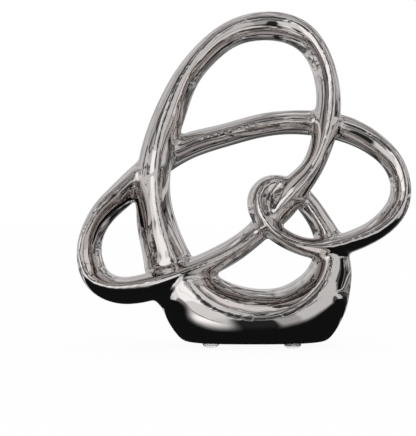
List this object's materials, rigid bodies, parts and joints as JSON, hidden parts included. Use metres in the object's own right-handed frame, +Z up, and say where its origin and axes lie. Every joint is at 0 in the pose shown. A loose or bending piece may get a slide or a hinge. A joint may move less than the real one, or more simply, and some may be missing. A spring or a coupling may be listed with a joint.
{
  "type": "ceramic knot ornament",
  "caption": "Abstract knot of one endless band with a lens-shaped section, fused at its crossings and to its own arched base, standing on clear bumper feet.",
  "frame": {"origin": "centre of the bounding box's bottom, on the table under the feet", "axes": "+Z up, the front faces -Y, +X to the viewer's right; the band is thinnest front to back, along Y"},
  "size_m": [0.2524, 0.0872, 0.2536],
  "materials": {
    "silver_lustre": "mirror-bright silver lustre over a smooth glaze, faintly warm",
    "clear_vinyl": "clear soft vinyl bumper"
  },
  "bodies": {
    "root": {"knot_casting": "silver_lustre", "foot_front_left": "clear_vinyl", "foot_front_right": "clear_vinyl", "foot_back_left": "clear_vinyl", "foot_back_right": "clear_vinyl"}
  },
  "joints": []
}
